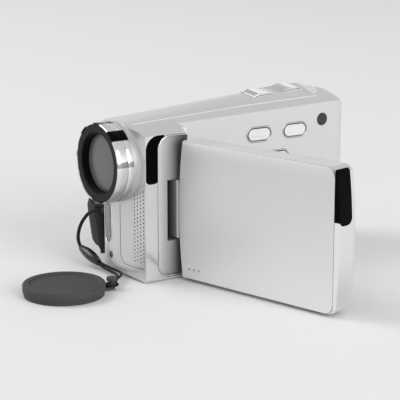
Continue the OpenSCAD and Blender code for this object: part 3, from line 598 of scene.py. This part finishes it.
class StageOperator(bpy.types.Operator):
    """Sets the camera, floor, backdrop light and lamps"""

    bl_idname = "camcorder.stage"
    bl_label = "Stage"

    def execute(self, context):
        look = looks()
        camera = link("camera", bpy.data.cameras.new("camera"))
        back = Vector((math.sin(look.azimuth) * math.cos(look.elevation),
                       -math.cos(look.azimuth) * math.cos(look.elevation), math.sin(look.elevation)))
        target = Vector((-0.00003, 0.00017, 0.02673))
        camera.location = target + back * look.distance
        camera.rotation_euler = back.to_track_quat("Z", "Y").to_euler()
        camera.data.sensor_width = 36
        camera.data.lens = 135.1
        camera.data.clip_end = 20
        context.scene.camera = camera
        bm = bmesh.new()
        bmesh.ops.create_grid(bm, x_segments=1, y_segments=1, size=6)
        floor = make_object("floor", bm)
        floor.data.materials.append(
            grained("pale_floor", look.floor, 0.75, grain=400.0, change=0.01, bump=0.0))
        self.light_world(context)
        self.add_lamp("key_softbox", (-1.5, -1.3, 1.9), 1.6, 30.0)
        self.add_lamp("fill_softbox", (2.2, 0.3, 0.9), 1.4, 29.0)
        context.scene.view_settings.view_transform = "Standard"
        return {"FINISHED"}

    def add_lamp(self, name, place, size, power):
        lamp = bpy.data.lights.new(name, "AREA")
        lamp.size = size
        lamp.energy = power
        obj = link(name, lamp)
        obj.location = place
        obj.rotation_euler = Vector(place).to_track_quat("Z", "Y").to_euler()

    def light_world(self, context):
        world = bpy.data.worlds.new("studio")
        context.scene.world = world
        world.use_nodes = True
        tree = world.node_tree
        split = tree.nodes.new("ShaderNodeSeparateXYZ")
        tree.links.new(places(tree, "Generated"), split.inputs[0])
        ramp = tree.nodes.new("ShaderNodeValToRGB")
        tree.links.new(split.outputs[2], ramp.inputs[0])
        stops = ramp.color_ramp.elements
        stops[0].position, stops[0].color = 0.0, (1.0, 1.0, 1.0, 1)
        stops[1].position, stops[1].color = 1.0, (0.75, 0.75, 0.76, 1)
        for position, level in ((0.22, 0.95), (0.4, 0.6), (0.6, 0.5), (0.8, 0.5)):
            stop = stops.new(position)
            stop.color = (level, level, level, 1)
        shade = tree.nodes["Background"]
        tree.links.new(ramp.outputs[0], shade.inputs[0])
        shade.inputs[1].default_value = 1.0


class CordOperator(bpy.types.Operator):
    """Makes the cord, its bead, the doubled cord, the lens cap and its lug"""

    bl_idname = "camcorder.cord_and_cap"
    bl_label = "Cord and lens cap"

    def execute(self, context):
        plastic = black_plastic()
        braid = grained("cord_braid", (0.012, 0.011, 0.01), 0.65, grain=5000.0, change=0.6, bump=0.6,
                        depth=0.00006, ior=1.3)
        start, end = Vector(CORD[8]), Vector((-10.0, -45.3, 3.2))
        run = end - start
        widest, steps = 2.3, 24
        shape = [(0.0, 0.0)]
        for t in (k / steps for k in range(steps + 1)):
            swell = math.sin(math.pi * (0.06 + 0.88 * t)) ** 0.8
            shape.append((widest * (0.42 + 0.58 * swell), run.length * t))
        shape.append((0.0, run.length))
        bead = lathe("tether_bead_piece", shape, start * MM, run.normalized(), 48)
        dress(bead, "body", "cap_plastic", grained("bead_plastic", (0.01, 0.01, 0.011), 0.16), "tether_bead")
        cap = self.make_cap(plastic)
        lug = skin("cap_lug_piece", "cap_lug", "body", "cap_plastic", plastic, 0.2, 2)
        single = cord_curve("tether_cord_piece", CORD, 0.75)
        dress(single, "body", "cord_black", braid, "tether_cord")
        doubled = cord_curve("tether_loop_piece", LOOP, 0.55)
        dress(doubled, "body", "cord_black", braid, "tether_loop")
        return {"FINISHED"}

    def make_cap(self, plastic):
        low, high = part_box("lens_cap")
        centre = (low + high) / 2
        centre.z = 0
        r = (high.x - low.x) / 2 / MM
        h = high.z / MM
        cap = lathe("lens_cap_piece", [
            (0, 1.6), (r - 2.2, 1.6), (r - 1.5, 0.15), (r - 1.35, 0), (r - 0.65, 0), (r - 0.5, 0.15),
            (r - 0.5, 1.5), (r - 0.45, 1.6), (r - 0.1, 1.75), (r, 1.95), (r, h - 0.7), (r - 0.1, h - 0.35),
            (r - 0.35, h - 0.1), (r - 0.7, h), (r - 2.0, h), (r - 2.3, h - 0.08), (r - 2.5, h - 0.3),
            (r - 2.7, h - 0.72), (r - 3.0, h - 0.8), (r * 0.6, h - 0.8), (0, h - 0.8)],
            centre, (0, 0, 1), 128)
        return dress(cap, "body", "cap_plastic", plastic, "lens_cap")


class LensOperator(bpy.types.Operator):
    """Makes the lens rings, the barrel with its flare, the ribbed bezel and the glass"""

    bl_idname = "camcorder.lens"
    bl_label = "Lens"

    def execute(self, context):
        metal = ring_chrome()
        self.make_ring("lens_front_ring", metal)
        self.make_ring("lens_rear_ring", metal)
        self.make_bezel()
        self.make_glass()
        self.make_flare()
        return {"FINISHED"}

    def size(self, node):
        """A round piece's radius and depth in millimetres, and the middle of its back in metres."""
        low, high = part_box(node)
        return (high.x - low.x) / 2 / MM, (high.y - low.y) / MM, Vector((LENS.x, high.y, LENS.z))

    def make_ring(self, node, material):
        r, length, back = self.size(node)
        bore, lip = r - 4.0, r - 0.75
        shape = [(bore, 0), (r - 0.25, 0), (r - 0.07, 0.07), (r, 0.25)]
        if node == "lens_rear_ring":
            shape += [(r, length - 0.25), (r - 0.07, length - 0.07), (r - 0.25, length), (bore, length)]
        else:
            shape += [(r, length - 0.5), (r - 0.08, length - 0.2), (r - 0.28, length - 0.03),
                      (r - 0.5, length), (lip + 0.12, length - 0.05), (lip, length - 0.25), (lip, 0.45),
                      (bore, 0.45)]
        piece = lathe(node + "_piece", shape, back, around=160, smooth=40)
        dress(piece, "body", "bright_trim", material, node)

    def make_bezel(self):
        r, depth, back = self.size("lens_bezel")
        inner, rib_span, rib_slope = r - 3.05, 2.0, 0.55
        shape = [(r - 0.15, 0), (r - 0.03, depth - 0.15), (r - 0.2, depth - 0.02),
                 (inner + 0.25, depth - 0.02), (inner, depth - 0.18)]
        ribs = looks().ribs
        for k in range(ribs):
            along = depth - 0.5 - k * rib_span / ribs
            step = inner - 0.1 - rib_slope * k / ribs
            shape += [(step, along), (step - 0.16, along - 0.07), (step - 0.16, along - 0.13)]
        shape += [(inner - 0.7, 0.0)]
        piece = lathe("lens_bezel_piece", shape, back, around=160, smooth=30)
        dress(piece, "body", "lens_ring_dark", self.bezel_black_painted_shade(), "lens_bezel")

    def bezel_black_painted_shade(self):
        """Black with painted shade: deeper inside the bezel than on its front edge."""
        material, tree, shader, wear = worn("bezel_black_painted_shade", (0.016, 0.013, 0.012), 0.5, 8000.0, 0.2, 0.08,
                                            ior=1.22)
        inside = share(tree, 1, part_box("lens_bezel")[0].y + 0.0003, 0.00025)
        # painted shade: the black deepens towards the inside of the bezel
        grade(tree, shader, inside, wear.outputs["Colour"], (0.004, 0.004, 0.004, 1))
        add_bump(tree, shader, wear.outputs["Height"], 0.15, 0.00002)
        return material

    def make_glass(self):
        r, depth, back = self.size("lens_glass")
        rim, dome = depth - 1.0, 0.95
        shape = [(0, 0), (r - 0.02, 0), (r - 0.02, rim)]
        shape += [(r * math.cos(t), rim + dome * math.sin(t))
                  for t in (math.radians(a) for a in range(8, 90, 8))] + [(0, depth - 0.04)]
        piece = lathe("lens_glass_piece", shape, back, around=128, smooth=60)
        # painted reflection: the glass's grey base colour stands in for light reflected in its coating
        dress(piece, "body", "lens_glass",
              grained("front_glass_painted_reflection", (0.1, 0.1, 0.107), 0.3, coat=0.2, bump=0.0, change=0.02), "lens_glass")

    def make_flare(self):
        """The barrel ends in a concave flare, widest towards the screen side."""
        low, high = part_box("lens_barrel")
        r = (high.x - low.x) / 2 / MM
        start = low.y / MM + 0.65
        around, steps = 128, 12
        least, most, lean = 0.25, 2.6, 0.15
        bm = bmesh.new()
        rows = []
        for bend in (k / steps * math.pi / 2 for k in range(steps + 1)):
            row = []
            for a in (2 * math.pi * i / around for i in range(around)):
                grow = least + most * max(0.0, math.cos(a - lean)) ** 1.2
                stop = front_y((r + grow) * math.cos(a)) + 0.35
                out = r + grow * (1 - math.cos(bend))
                along = start + (stop - start) * math.sin(bend)
                row.append(bm.verts.new(
                    Vector((out * math.cos(a), along, LENS.z / MM + out * math.sin(a))) * MM))
            rows.append(row)
        grid_faces(bm, rows)
        bmesh.ops.recalc_face_normals(bm, faces=bm.faces)
        piece = make_object("barrel_flare", bm, 60)
        # painted shade: the flare gets a darker copy of the case silver
        dress(piece, "body", "silver_shell",
              grained("barrel_silver_painted_shade", (0.45, 0.45, 0.46), 0.45, metallic=0.4, change=0.1))


class StrapOperator(bpy.types.Operator):
    """Makes the woven hand strap between its two lugs"""

    bl_idname = "camcorder.strap"
    bl_label = "Hand strap"

    def execute(self, context):
        bar = Vector((-22.28, -36.88, 15.0))
        rear_x, run, rise, square = -26.5, 81.28, 24.0, 2.6
        tilt = math.radians(8)
        width, thick, wrap, clear = 18.9, 2.3, 2.25, 0.4
        loop_r, loop_thick = 1.68, 1.12
        turn = Matrix.Translation(bar * MM) @ Matrix.Rotation(tilt, 4, "X")

        def oval(c):
            return math.copysign(abs(c) ** (2 / square), c)

        def middle(a):
            return Vector(((rear_x - bar.x) * (1 - oval(math.cos(a))) / 2 - rise * oval(math.sin(a)),
                           run / math.cos(tilt) * (1 - oval(math.cos(a))) / 2, 0))

        first = math.asin(((wrap - clear) / rise) ** (square / 2))
        steps = 140
        spine = [middle(first + (math.pi - 2 * first) * k / steps) for k in range(steps + 1)]
        bm = bmesh.new()
        uv = bm.loops.layers.uv.new("threads")
        self.sweep(bm, uv, spine, width, thick, turn, True)
        for end in (Vector((0, 0, 0)), middle(math.pi)):
            loop = [end + Vector((math.cos(t), math.sin(t), 0)) * loop_r
                    for t in (2 * math.pi * k / 40 for k in range(41))]
            self.sweep(bm, uv, loop, width, loop_thick, turn, False)
        bmesh.ops.recalc_face_normals(bm, faces=bm.faces)
        piece = make_object("hand_strap_piece", bm, 50)
        cloth = woven("strap_webbing", looks().strap, (0.006, 0.005, 0.005), 0.5)
        dress(piece, "body", "strap_webbing", cloth, "hand_strap")
        return {"FINISHED"}

    def sweep(self, bm, uv, spine, width, thick, turn, ended):
        """A band with rounded edges along a spine, with its UVs counted in threads."""
        cuts = 12
        half = width / 2
        pitch = looks().thread / MM
        rows, marks = [], []
        far = 0.0
        for k, point in enumerate(spine):
            ahead = spine[min(k + 1, len(spine) - 1)] - spine[max(k - 1, 0)]
            if k:
                far += (point - spine[k - 1]).length
            side = Vector((ahead.y, -ahead.x, 0)).normalized()
            row, mark = [], []
            for sign in (1, -1):
                for i in range(cuts + 1):
                    share = 1 - 2 * i / cuts if sign > 0 else -1 + 2 * i / cuts
                    edge = (1 - abs(share) ** 8) ** 0.5
                    rise = Vector((0, 0, half * share))
                    place = point + side * sign * thick / 2 * (0.35 + 0.65 * edge) + rise
                    row.append(bm.verts.new(turn @ (place * MM)))
                    mark.append((far / pitch, half * (1 + share) / pitch))
            rows.append(row)
            marks.append(mark)
        for a, b, mark_a, mark_b in zip(rows, rows[1:], marks, marks[1:]):
            for k in range(len(a)):
                n = (k + 1) % len(a)
                face = bm.faces.new((a[k], a[n], b[n], b[k]))
                for corner, value in zip(face.loops, (mark_a[k], mark_a[n], mark_b[n], mark_b[k])):
                    corner[uv].uv = value
        if ended:
            bm.faces.new(rows[0])
            bm.faces.new(reversed(rows[-1]))


class ControlsOperator(bpy.types.Operator):
    """Makes the buttons, their rims, the zoom rocker and the indicator windows"""

    bl_idname = "camcorder.controls"
    bl_label = "Controls"

    def execute(self, context):
        key = grained("key_silver", (0.74, 0.74, 0.75), 0.3, metallic=0.6, coat=0.2)
        rim = grained("key_rim", (0.8, 0.8, 0.81), 0.18, metallic=0.9, change=0.02)
        gap = grained("key_gap", (0.02, 0.02, 0.02), 0.6)
        edge = grained("rim_shadow", (0.2, 0.2, 0.2), 0.5)
        shell_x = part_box("power_button")[1].x / MM - 0.2
        for name in ("power", "mode", "playback"):
            node, body = name + "_button", name + "_key"
            low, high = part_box(node)
            skin(node + "_piece", node, body, "key_silver", key, 0.12, 2)
            centre = (low + high) / 2 / MM
            for label, grow, radius, sink, material in (
                    ("rim", 0.75, 0.22, 0.08, rim), ("line", 1.0, 0.07, 0.03, edge),
                    ("gap", 0.17, 0.16, 0.1, gap)):
                outline = [(shell_x - sink, centre.y + y, centre.z + z)
                           for y, z in pill_outline(KEY_LENGTH + 2 * grow, KEY_HEIGHT + 2 * grow)]
                dress(wire(f"{node}_{label}", outline, radius, True), "body", "key_silver", material)
        low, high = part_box("power_button")
        centre = (low + high) / 2 / MM
        raised = [(high.x / MM - 0.05, centre.y + 0.6 + y, centre.z + z)
                  for y, z in pill_outline(MARK_LENGTH, MARK_HEIGHT)]
        dress(wire("power_mark", raised, 0.1, True), "power_key", "key_silver", rim)
        skin("zoom_rocker_piece", "zoom_rocker", "rocker", "bright_trim", chrome(), 0.25, 3, 20)
        skin("rocker_seat_piece", "rocker_seat", "body", "bright_trim", chrome(), 0.2, 2)
        self.make_seam()
        self.make_holes()
        self.make_lamp()
        return {"FINISHED"}

    def make_lamp(self):
        """The lamp window: a ribbed lens in a rounded rim."""
        low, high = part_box("led_window")
        centre = (low + high) / 2 / MM
        width, height = (high.x - low.x) / MM, (high.z - low.z) / MM
        for label, grow, radius, sink, material in (
                ("rim", 0.35, 0.28, 0.02, grained("lamp_rim", (0.85, 0.85, 0.86), 0.15, metallic=0.8)),
                ("line", -0.1, 0.16, 0.02, shadow())):
            outline = [(centre.x - z, corner_y(centre.x - z) + sink, centre.z + x)
                       for x, z in pill_outline(height + 2 * grow, width + 2 * grow)]
            dress(wire("lamp_" + label, outline, radius, True), "body", "clear_window", material)
        pitch, margin, around = 0.9, 1.2, 8
        rows = int(height / pitch)
        bm = bmesh.new()
        for k in range(rows):
            z = low.z / MM + margin + (height - 2 * margin) * k / (rows - 1)
            half = width / 2 - 0.5
            line = []
            for i in range(13):
                x = centre.x - half + 2 * half * i / 12
                y = corner_y(x) + 0.12
                line.append([bm.verts.new(Vector((x, y + 0.25 * math.sin(a), z + 0.36 * math.cos(a))) * MM)
                             for a in (2 * math.pi * n / around for n in range(around))])
            grid_faces(bm, line)
        ribs = make_object("lamp_ribs", bm, 60)
        dress(ribs, "body", "clear_window",
              grained("lamp_glass", (0.2, 0.2, 0.2), 0.12, coat=0.8, grain=700.0, change=1.6))

    def make_seam(self):
        """The line between the case halves, down the front and out under the grille."""
        line = [(SEAM_X, 31.4), (SEAM_X, 24.0), (SEAM_X, 17.0), (SEAM_X, SEAM_Z + SEAM_R)]
        line += arc(SEAM_X + SEAM_R, SEAM_Z + SEAM_R, SEAM_R, 180, 270)[1:]
        line += [(12, SEAM_Z), (15.5, SEAM_Z), (18.6, SEAM_Z)]
        seam = wire("front_seam", [(x, front_y(x) + 0.04, z) for x, z in line], 0.13)
        dress(seam, "body", "black_inner", shadow())

    def make_holes(self):
        """Dark cups sunk in the grille's holes."""
        around = 12
        rims = ((0.33, 0.05), (0.3, 0.5))  # radius and depth, at the mouth and at the bottom
        bm = bmesh.new()
        for i in range(HOLE_COLUMNS):
            x = HOLES_X + i * COLUMN_PITCH
            for k in range(HOLE_ROWS):
                z = HOLES_Z + (k + (i % 2) / 2) * ROW_PITCH
                y = front_y(x)
                rows = [[bm.verts.new(Vector((x + r * math.cos(a), y + d, z + r * math.sin(a))) * MM)
                         for a in (2 * math.pi * n / around for n in range(around))] for r, d in rims]
                grid_faces(bm, rows)
                bm.faces.new(rows[1])
        holes = make_object("grille_cups", bm, 40)
        dress(holes, "body", "black_inner", grained("hole_black", (0.02, 0.02, 0.02), 0.7))


class CaseOperator(bpy.types.Operator):
    """Makes the two case halves, the grille, the trim and the hinge cover"""

    bl_idname = "camcorder.case"
    bl_label = "Case"

    def execute(self, context):
        silver = silver_paint()
        skin("grip_shell_piece", "grip_shell", "body", "silver_shell", silver, 0.3, 3)
        skin("side_shell_piece", "screen_side_shell", "body", "silver_shell", silver, 0.3, 3)
        skin("grille_piece", "front_grille", "body", "silver_shell", silver, 0.05, 1)
        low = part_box("hinge_trim")[0]
        # painted reflection: the column trim's chrome is painted black on its upper part
        trim = banded_chrome("column_trim", (0, 1, 0), middle=low.y + 0.0031, half=0.0032, lowest=0.0418,
                             rounding=0.0016, full=0.0555)
        skin("hinge_trim_piece", "hinge_trim", "body", "bright_trim", trim, 0.3, 3)
        self.make_recess_edge()
        self.make_crease()
        skin("hinge_cover_piece", "hinge_cover", "body", "silver_shell", self.cover_shade(), 0.3, 3)
        skin("bumper_piece", "bumper_pad", "body", "black_rubber",
             grained("bumper_rubber", (0.022, 0.022, 0.022), 0.6), 0.1, 2)
        return {"FINISHED"}

    def cover_shade(self):
        """Silver with painted shade, darkening where the cover curves in under the screen."""
        material, tree, shader, wear = worn("cover_silver", looks().silver, 0.35, 6000.0, 0.06, 0.05,
                                            metallic=0.5)
        inward = share(tree, 1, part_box("hinge_cover")[0].y + 0.0005, 0.0115)
        grade(tree, shader, maths(tree, "POWER", inward, 0.8), wear.outputs["Colour"],
              (0.07, 0.07, 0.072, 1))
        return material

    def make_recess_edge(self):
        """A bright bead and a fine dark line round the recess."""
        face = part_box("hinge_trim")[1].x / MM
        turn_y, low_z, high_z = RECESS_FRONT + RECESS_R, RECESS_LOW + RECESS_R, RECESS_HIGH - RECESS_R
        for label, grow, radius, sink, slot, material in (
                ("bead", 0.28, 0.26, 0.1, "bright_trim", chrome()),
                ("line", 0.66, 0.11, 0.02, "black_inner", shadow())):
            corner = RECESS_R + grow
            edge = [(RECESS_REAR, RECESS_HIGH + grow)] + arc(turn_y, high_z, corner, 90, 180)
            edge += arc(turn_y, low_z, corner, 180, 270) + [(RECESS_REAR, RECESS_LOW - grow)]
            dress(wire("recess_" + label, [(face - sink, y, z) for y, z in edge], radius), "body", slot,
                  material)

    def make_crease(self):
        """A painted highlight: a fine light wire laid where the crown meets the bevel above the screen."""
        mesh = frame["nodes"]["screen_side_shell"].data
        shell = BVHTree.FromPolygons([v.co for v in mesh.vertices],
                                     [tuple(f.vertices) for f in mesh.polygons])
        front, rear = -0.0385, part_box("screen_side_shell")[1].y - 0.0155
        above, lowest, steps = 0.12, 0.055, 40
        line = []
        for k in range(steps):
            y = front + (rear - front) * k / (steps - 1)
            place = shell.ray_cast(Vector((CREASE_X * MM, y, above)), Vector((0, 0, -1)))[0]
            if place and place.z > lowest:
                line.append(tuple(place / MM + Vector((-0.05, 0, -0.04))))
        if len(line) < 12:
            raise RuntimeError("the crease above the screen wasn't found")
        # painted highlight: a near-white colour along the crease
        light = grained("crease_highlight", (0.93, 0.93, 0.93), 0.3, metallic=0.2)
        dress(wire("top_crease", line, 0.15), "body", "silver_shell", light)


class ScreenOperator(bpy.types.Operator):
    """Makes the fold-out screen and its hinge"""

    bl_idname = "camcorder.screen"
    bl_label = "Screen"

    def execute(self, context):
        silver = silver_paint()
        skin("screen_plate_piece", "screen_cover", "screen", "screen_plate", self.satin(), 0.2, 3)
        skin("screen_frame_piece", "screen_frame", "screen", "screen_shell", silver, 0.2, 2)
        skin("screen_bezel_piece", "screen_bezel", "screen", "screen_shell", silver, 0.3, 3)
        # painted reflection: the end band's chrome is painted black on its upper part
        band = banded_chrome("screen_end_band", (OUT.x, OUT.y, 0), middle=HINGE.dot(OUT) + 0.0012,
                             half=0.0042, lowest=0.0365, rounding=0.0026, full=0.0566)
        skin("screen_end_piece", "screen_end_trim", "screen", "bright_trim", band, 0.7, 4)
        skin("hinge_block_piece", "hinge_block", "hinge", "silver_shell", self.block_shade(), 0.2, 2)
        return {"FINISHED"}

    def satin(self):
        """Satin plate that rolls back along its top edge, with painted shade that makes it darker at the top and
        lighter lower down.
        """
        material, tree, shader, wear = worn("satin_plate", looks().plate, 0.42, 5000.0, 0.05, 0.03,
                                            metallic=0.45)
        low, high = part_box("screen_cover")
        edge = 0.005
        roll = share(tree, 2, high.z - edge, edge)
        fall = maths(tree, "MULTIPLY", maths(tree, "MULTIPLY", roll, roll), -1.0)
        drop = share(tree, 2, high.z, low.z - high.z)
        # painted shade: the plate's colour is darker at its top, lighter lower down
        upper = tuple(0.8 * c for c in looks().plate)
        grade(tree, shader, drop, (*upper, 1), wear.outputs["Colour"])
        grain = maths(tree, "MULTIPLY", wear.outputs["Height"], 0.006)
        add_bump(tree, shader, maths(tree, "ADD", fall, grain), 1.0, 0.0011)
        return material

    def block_shade(self):
        """Silver with painted shade, darkening towards the inner side of the hinge."""
        material, tree, shader, wear = worn("hinge_silver", looks().silver, 0.3, 6000.0, 0.06, 0.05,
                                            metallic=0.5)
        low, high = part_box("hinge_block")
        outward = maths(tree, "POWER", share(tree, 0, low.x, high.x - low.x), 2.2)
        grade(tree, shader, outward, (0.012, 0.012, 0.013, 1), wear.outputs["Colour"])
        return material


class PlainOperator(bpy.types.Operator):
    """Gives every remaining piece its finish"""

    bl_idname = "camcorder.finishes"
    bl_label = "Finishes"

    def execute(self, context):
        silver, ground = silver_paint(), steel()
        finish = {
            "silver_shell": silver, "screen_plate": silver, "screen_shell": silver, "key_silver": silver,
            "bright_trim": chrome(), "steel_pin": ground, "metal_inner": ground,
            "cap_plastic": black_plastic(),
            "lens_ring_dark": grained("dark_plastic", (0.055, 0.05, 0.046), 0.45),
            "clear_window": grained("lamp_window", (0.35, 0.35, 0.36), 0.2),
            "red_window": grained("receiver_window", (0.05, 0.012, 0.014), 0.15, coat=0.5),
            "record_red": grained("record_red", (0.45, 0.03, 0.03), 0.25, coat=0.4),
            "lens_glass": grained("rear_element", (0.12, 0.125, 0.135), 0.06, coat=1.0, bump=0.0),
            "strap_webbing": grained("strap_plain", (0.04, 0.038, 0.036), 0.8),
            "board_green": grained("circuit_board", (0.03, 0.16, 0.07), 0.4, coat=0.3),
            "bush_brass": grained("turned_brass", (0.7, 0.52, 0.22), 0.3, metallic=1.0),
            "screen_glass": grained("display_window", (0.012, 0.012, 0.016), 0.06, coat=0.6),
            "led_parts": grained("lamp_board", (0.85, 0.83, 0.7), 0.4),
            "battery_case": grained("battery_wrap", (0.1, 0.11, 0.13), 0.4),
            "lcd_stack": grained("display_stack", (0.05, 0.055, 0.07), 0.3),
        }
        black = grained("inner_black", (0.03, 0.03, 0.03), 0.5)
        slots = {entry["node"]: entry["material_slot"] for entry in frame["record"]["subparts"]}
        lug = grained("lug_plastic", (0.02, 0.02, 0.02), 0.4)
        for node, obj in frame["nodes"].items():
            obj.data.materials.clear()
            obj.data.materials.append(lug if node.startswith("strap_") else finish.get(slots[node], black))
        return {"FINISHED"}


OPERATORS = (StageOperator, CordOperator, CaseOperator, LensOperator, ScreenOperator, ControlsOperator,
             StrapOperator, PlainOperator)


class CamcorderPanel(bpy.types.Panel):
    """Lists the camcorder's operators"""

    bl_idname = "VIEW3D_PT_camcorder"
    bl_label = "Camcorder"
    bl_space_type = "VIEW_3D"
    bl_region_type = "UI"
    bl_category = "Camcorder"

    def draw(self, context):
        for operator in OPERATORS:
            self.layout.operator(operator.bl_idname)


CLASSES = (CamcorderLooks, *OPERATORS, CamcorderPanel)


def register():
    for item in CLASSES:
        bpy.utils.register_class(item)
    bpy.types.Scene.camcorder_looks = PointerProperty(type=CamcorderLooks)


def unregister():
    del bpy.types.Scene.camcorder_looks
    for item in reversed(CLASSES):
        bpy.utils.unregister_class(item)


def main():
    register()
    for operator in OPERATORS:
        group, name = operator.bl_idname.split(".")
        getattr(getattr(bpy.ops, group), name)()


if __name__ == "__main__":
    main()
